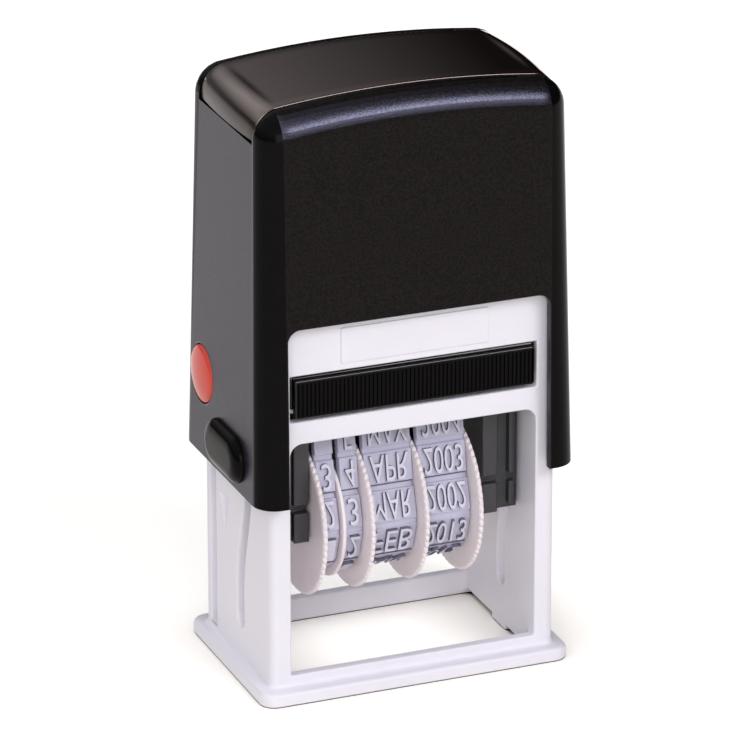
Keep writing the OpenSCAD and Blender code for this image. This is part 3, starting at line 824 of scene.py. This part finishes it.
# %% Cheeks, head, axle, pins, text plate and divider
unit_pieces = (("left_cheek", "cheek_left", "grey_abs", grey_abs, 0.25),
               ("right_cheek", "cheek_right", "grey_abs", grey_abs, 0.25),
               ("head_plate", "print_head", "grey_abs", grey_abs, 0.25),
               ("band_bridge", "band_guide", "grey_abs", grey_abs, 0.25),
               ("wheel_axle", "axle_rod", "spring_steel", steel, 0.15),
               ("left_pivot_pin", "pin_left", "spring_steel", steel, 0.15),
               ("right_pivot_pin", "pin_right", "spring_steel", steel, 0.15),
               ("text_plate", "text_rubber", "band_rubber", rubber, 0.15),
               ("day_divider", "divider_disc", "white_nylon", nylon, 0.22))
for node, name, slot, finish, edge_round in unit_pieces:
    soft_edged(node, name, slot, [finish], lambda p: edge_round)
print("unit pieces made:", len(unit_pieces))

# %% [markdown]
# ## The thumb wheels
# Each wheel is a toothed rim beside a drum that carries a band. The rim's edges are round, and so are the
# teeth, or they would bite the thumb. The first wheel has its rim on the left of its band, the others on the
# right, so a profile is built from the rim towards the drum and turned the way the solid lies.

# %% Wheels
axle = Vector((-1.8, 25.8))
rim_thick, teeth, tooth_deep, tooth_steps = 0.8, 68, 0.34, 8
bore_r, hub_r, hub_foot_r, web_r, rim_in_r, drum_r = 1.25, 3.0, 3.3, 11.4, 11.8, 7.5
web_deep = 0.1
rim_rounding = ((0.0, 12.5, 0), (0.04, 12.7, 0.3), (0.13, 12.92, 0.7))
crest_in = 0.28
for label, sign in (("day_tens", 1), ("day_units", -1), ("month", -1), ("year", -1)):
    low, high = (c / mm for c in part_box(f"{label}_wheel"))
    radius = (high.z - low.z) / 2
    start, end = (low.x, high.x) if sign > 0 else (-high.x, -low.x)
    inner = start + rim_thick
    outline = [(start, bore_r, 0), (start, hub_r, 0), (start + web_deep, hub_foot_r, 0),
               (start + web_deep, web_r, 0), (start, rim_in_r, 0)]
    outline += [(start + dx, r, share) for dx, r, share in rim_rounding]
    outline += [(start + crest_in, radius, 1), (inner - crest_in, radius, 1)]
    outline += [(inner - dx, r, share) for dx, r, share in reversed(rim_rounding)]
    outline += [(inner, drum_r, 0), (end, drum_r, 0), (end, bore_r, 0)]
    wheel = turned(f"{label}_thumb_wheel", [(sign * x, r, share) for x, r, share in outline], axle,
                   teeth * tooth_steps, teeth, tooth_deep)
    settle(wheel, f"{label}_wheel", "white_nylon", nylon)
    print(label, "rim radius", round(radius, 2))

# %% [markdown]
# ## The date bands
# A rubber band runs from its wheel up over the print head, with a flat row for each figure and a groove
# between two rows. The solids have the rows and grooves. What they leave out is the raised figures, and to
# place those, each row's middle and upward direction is worked out the way the band lies: flats around the
# wheel, then two straight runs to the printing face.

# %% Where the rows lie
flat_r, row_turn, first_corner = 9.3, radians(360 / 10), radians(35)
row_length = 2 * flat_r * sin(row_turn / 2) / cos(row_turn / 2)
corner_r = flat_r / cos(row_turn / 2)
printing_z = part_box("month_band")[1].z / mm - axle.y
face_half, face_drop, wheel_rows = 5.0, 1.2, 6
run_end = Vector((face_half, printing_z - face_drop))


def row_places():
    places = [(Vector((0, printing_z)), Vector((-1, 0)))]
    corner = Vector((corner_r * cos(first_corner), corner_r * sin(first_corner)))
    up = (run_end - corner).normalized()
    places += [(corner + up * row_length * k, up) for k in (1.5, 0.5)]
    for k in range(wheel_rows):
        a = first_corner - row_turn * (k + 0.5)
        places.append((flat_r * Vector((cos(a), sin(a))), Vector((-sin(a), cos(a)))))
    last = first_corner - row_turn * wheel_rows
    corner = corner_r * Vector((cos(last), sin(last)))
    down = (corner - Vector((-run_end.x, run_end.y))).normalized()
    places += [(corner - down * row_length * k, down) for k in (0.5, 1.5)]
    return places


rows = row_places()
print("rows on a band:", len(rows), "row length in mm:", round(row_length, 2))

# %% [markdown]
# ## Raised figures
# A text curve gives the outlines. It is stretched to the narrow, four-millimetre figures of a dater,
# thickened into the rubber, laid on its row and mirrored top to bottom, because a stamp carries its print
# reversed. On the printing face the figures are lower and smaller. One band's figures become one piece.

# %% Tool for figures
figure_tall, figure_raised, face_tall, face_raised, figure_root = 4.3, 0.6, 3.6, 0.26, -0.15


def figure_mesh(text):
    curve = bpy.data.curves.new("figures", "FONT")
    curve.body, curve.size = text, 1.0
    curve.align_x, curve.align_y = "CENTER", "CENTER"
    curve.extrude, curve.resolution_u = 0.5, 3
    holder = bpy.data.objects.new("figures", curve)
    scene.collection.objects.link(holder)
    bpy.context.view_layer.update()
    mesh = bpy.data.meshes.new_from_object(holder.evaluated_get(bpy.context.evaluated_depsgraph_get()))
    bpy.data.objects.remove(holder)
    return mesh


def band_figures(band, name, texts, wide):
    low, high = (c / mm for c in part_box(band))
    middle_x = (low.x + high.x) / 2
    joined = bmesh.new()
    for (place, up), text in zip(rows, texts):
        if not text:
            continue
        mesh = figure_mesh(text)
        spots = [v.co.copy() for v in mesh.vertices]
        for face in mesh.polygons:
            # Figure faces take the painted light rubber, their sides the painted shade rubber.
            face.material_index = 0 if abs(face.normal.z) > 0.5 else 1
        least = Vector([min(s[i] for s in spots) for i in range(3)])
        most = Vector([max(s[i] for s in spots) for i in range(3)])
        below_face = place.y < printing_z - 1
        tall, raised = (figure_tall, figure_raised) if below_face else (face_tall, face_raised)
        out = Vector((up.y, -up.x))
        for v, s in zip(mesh.vertices, spots):
            u = [(s[i] - (least[i] + most[i]) / 2) / (most[i] - least[i]) for i in range(3)]
            flat = place - up * tall * u[1] + out * (raised if u[2] > 0 else figure_root)
            v.co = Vector((middle_x + wide * u[0], axle.x - flat.x, axle.y + flat.y)) * mm
        joined.from_mesh(mesh)
        bpy.data.meshes.remove(mesh)
    bmesh.ops.remove_doubles(joined, verts=joined.verts, dist=2 * weld)
    bmesh.ops.recalc_face_normals(joined, faces=joined.faces)
    piece = as_object(name, joined)
    piece.data.materials.append(rubber_painted_lit)
    piece.data.materials.append(rubber_painted_shade)
    scene.collection.objects.link(piece)
    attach(piece, "date_unit")
    return piece


print("figures stand", figure_raised, "mm above their rows")

# %% [markdown]
# ## Bands with their figures
# The band's steep groove walls take the dark rubber, painted shade: those are the faces that lie below their
# row's flat and don't look straight out of it. Each band gets its own run of figures.

# %% Bands
band_edge, below_flat, side_look, straight_look = 0.14, -0.02, 0.5, 0.85


def band_skin(centre, normal):
    spot = Vector((axle.x - centre.y, centre.z - axle.y))
    facing = Vector((-normal.y, normal.z))
    outs = [(place, Vector((up.y, -up.x))) for place, up in rows]
    height, lean = max(((spot - place).dot(out), facing.dot(out)) for place, out in outs)
    # 1 marks the steep groove walls, which take the painted shade.
    return int(height < below_flat and abs(normal.x) < side_look and lean < straight_look)


months = "JUN MAY APR MAR FEB JAN DEC NOV OCT SEP AUG".split()
years = [str(y) for y in (2005, 2004, 2003, 2002, 2013, 2012, 2011, 2010, 2009, 2008, 2007)]
units = ["6", "5", "4", "3", "2", "1", "0", "", "9", "8", "7"]
tens = ["1", "", "3", "2", "1", "", "3", "2", "1", "", "3"]
for label, texts, wide in (("day_tens", tens, 1.55), ("day_units", units, 1.6), ("month", months, 6.5),
                           ("year", years, 6.6)):
    soft_edged(f"{label}_band", f"{label}_rubber_band", "band_rubber", [rubber, rubber_painted_shade],
               lambda p: band_edge, pick=band_skin)
    piece = band_figures(f"{label}_band", f"{label}_figures", texts, wide)
    print(label, "figure points:", len(piece.data.vertices))

# %% [markdown]
# ## The return spring
# Between the frame and the housing's ceiling stands a compression spring. It is a helix with a round section.
# When the housing goes down the spring shortens; here the piece rides on its body and gets a mesh of its own.

# %% Spring
low, high = (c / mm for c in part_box("return_spring"))
wire, curls, ring, around, stroke = 0.4, 7, 28, 10, 30
coil = (high.x - low.x) / 2 - wire
rise = (high.z - low.z - 2 * wire) / (curls * ring)
shape = bmesh.new()
loops = []
for i in range(curls * ring + 1):
    a = 2 * pi * i / ring
    section = [(coil + wire * cos(b), low.z + wire + rise * i + wire * sin(b))
               for b in (2 * pi * j / around for j in range(around))]
    loops.append([shape.verts.new((r * cos(a) * mm, r * sin(a) * mm, z * mm)) for r, z in section])
join_rings(shape, loops)
shape.faces.new(loops[0])
shape.faces.new(loops[-1])
bmesh.ops.recalc_face_normals(shape, faces=shape.faces)
spring = as_object("return_spring_wire", shape)
settle(spring, "return_spring", "spring_steel", steel)
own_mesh(spring)
print("spring from", round(low.z, 2), "to", round(high.z, 2))

# %% [markdown]
# ## The paper floor
# A catalogue picture stands on white paper. A plain floor takes the shadow; where the camera or a mirror-like
# surface sees it, a little glow of its own brings the paper up to white, and the glow fades within 15 mm of
# the stamp: a painted soft shadow around where it stands. Where something lies closer than about a
# millimetre above the paper, as under the raised lower edges of the side walls, the paper's colour is mixed
# to near black: painted shade in the gap.

# %% Paper
gap_shade_reach, gap_shade_full, gap_shade_none = 1.6 * mm, 0.28, 0.5
shade_reach, shade_power, paper_glow = 15 * mm, 1.5, 0.55


def calc(tree, operation, one, two):
    return add(tree, "ShaderNodeMath", {0: one, 1: two}, operation=operation).outputs[0]


paper, tree, place = start_finish("white_paper_matt")
tone = blend(tree, noise(tree, place, 40, 2), "#F3EEE5", "#F6F1E9")
# Painted shade: in gaps lower than about a millimetre the paper's colour turns near black.
gap_shade = add(tree, "ShaderNodeAmbientOcclusion", {"Distance": gap_shade_reach}, samples=8).outputs["AO"]
gap_shade = add(tree, "ShaderNodeMapRange", {"Value": gap_shade, "From Min": gap_shade_full, "From Max": gap_shade_none},
          interpolation_type="SMOOTHSTEP").outputs[0]
tone = add(tree, "ShaderNodeMix", {0: gap_shade, 6: linear("#14110E"), 7: tone}, data_type="RGBA").outputs[2]
matt = add(tree, "ShaderNodeBsdfDiffuse", {"Color": tone})
ray = add(tree, "ShaderNodeLightPath").outputs
seen = calc(tree, "MAXIMUM", ray["Is Camera Ray"], ray["Is Glossy Ray"])
seen = calc(tree, "MAXIMUM", seen, ray["Is Transmission Ray"])
# The glow fades near the stamp: a painted soft shadow.
near = add(tree, "ShaderNodeAmbientOcclusion", {"Distance": shade_reach}, samples=8).outputs["AO"]
open_part = calc(tree, "MULTIPLY", calc(tree, "POWER", near, shade_power), gap_shade)
level = calc(tree, "MULTIPLY", calc(tree, "MULTIPLY", seen, open_part), paper_glow)
glow = add(tree, "ShaderNodeEmission", {"Color": linear("#FFFFFF"), "Strength": level})
both = add(tree, "ShaderNodeAddShader", {0: matt.outputs[0], 1: glow.outputs[0]})
add(tree, "ShaderNodeOutputMaterial", {"Surface": both.outputs[0]})
print("made", paper.name)

# %% [markdown]
# The floor itself is a flat sheet, a hair below the foot so that the two faces don't flicker into each other.

# %% Floor
shape = bmesh.new()
bmesh.ops.create_grid(shape, x_segments=2, y_segments=2, size=3.0)
floor = as_object("paper_floor", shape)
floor.location.z = -0.05 * mm
floor.data.materials.append(paper)
scene.collection.objects.link(floor)
print("floor at", round(floor.location.z / mm, 3), "mm")

# %% [markdown]
# ## The light
# Gloss is only as good as what it mirrors. So the sky isn't one even white: it is bright on the left, and
# falls off to the right and towards the horizon, which gives the cap its run from light to dark. A softbox
# at the front right draws the band along the rounded top and models the form, and a weaker fill at the front
# left opens the shadows.

# %% Sky
sky = bpy.data.worlds.new("soft_white_sky")
scene.world = sky
sky.use_nodes = True
tree = sky.node_tree
tree.nodes.clear()
way = add(tree, "ShaderNodeTexCoord").outputs["Generated"]
way = add(tree, "ShaderNodeSeparateXYZ", {0: way})
across = add(tree, "ShaderNodeMapRange", {"Value": way.outputs["X"], "From Min": -0.15, "From Max": 0.43,
             "To Min": 0.9, "To Max": 0.02})
upwards = add(tree, "ShaderNodeMapRange", {"Value": way.outputs["Z"], "From Min": 0.14, "From Max": 0.5,
              "To Min": 0.14})
level = calc(tree, "MULTIPLY", across.outputs[0], upwards.outputs[0])
ceiling = add(tree, "ShaderNodeBackground", {"Color": linear("#FAFAFF"), "Strength": level})
add(tree, "ShaderNodeOutputWorld", {"Surface": ceiling.outputs[0]})
print("made", sky.name)

# %% [markdown]
# Both lamps are area lights that look at the middle of the stamp. The size of a lamp sets how soft its shadow
# is. Their power is kept low, and the plain view transform shows a colour about as it is written.

# %% Softbox and fill
lit_point = Vector((0, 0, 0.05))
for name, spot, wide, tall, watts, tint in (
        ("softbox", (0.57, -1.22, 1.07), 0.8, 0.6, 10.6, (0.96, 0.96, 1.0)),
        ("side_fill", (-0.55, -1.3, 0.5), 0.8, 0.8, 6.0, (1.0, 1.0, 1.0))):
    lamp = bpy.data.lights.new(name, "AREA")
    lamp.shape, lamp.size, lamp.size_y = "RECTANGLE", wide, tall
    lamp.energy, lamp.color = watts, tint
    holder = bpy.data.objects.new(name, lamp)
    scene.collection.objects.link(holder)
    holder.location = spot
    holder.rotation_euler = (lit_point - holder.location).to_track_quat("-Z", "Y").to_euler()
    print(name, "at", [round(v, 2) for v in holder.location])
scene.view_settings.view_transform = "Standard"
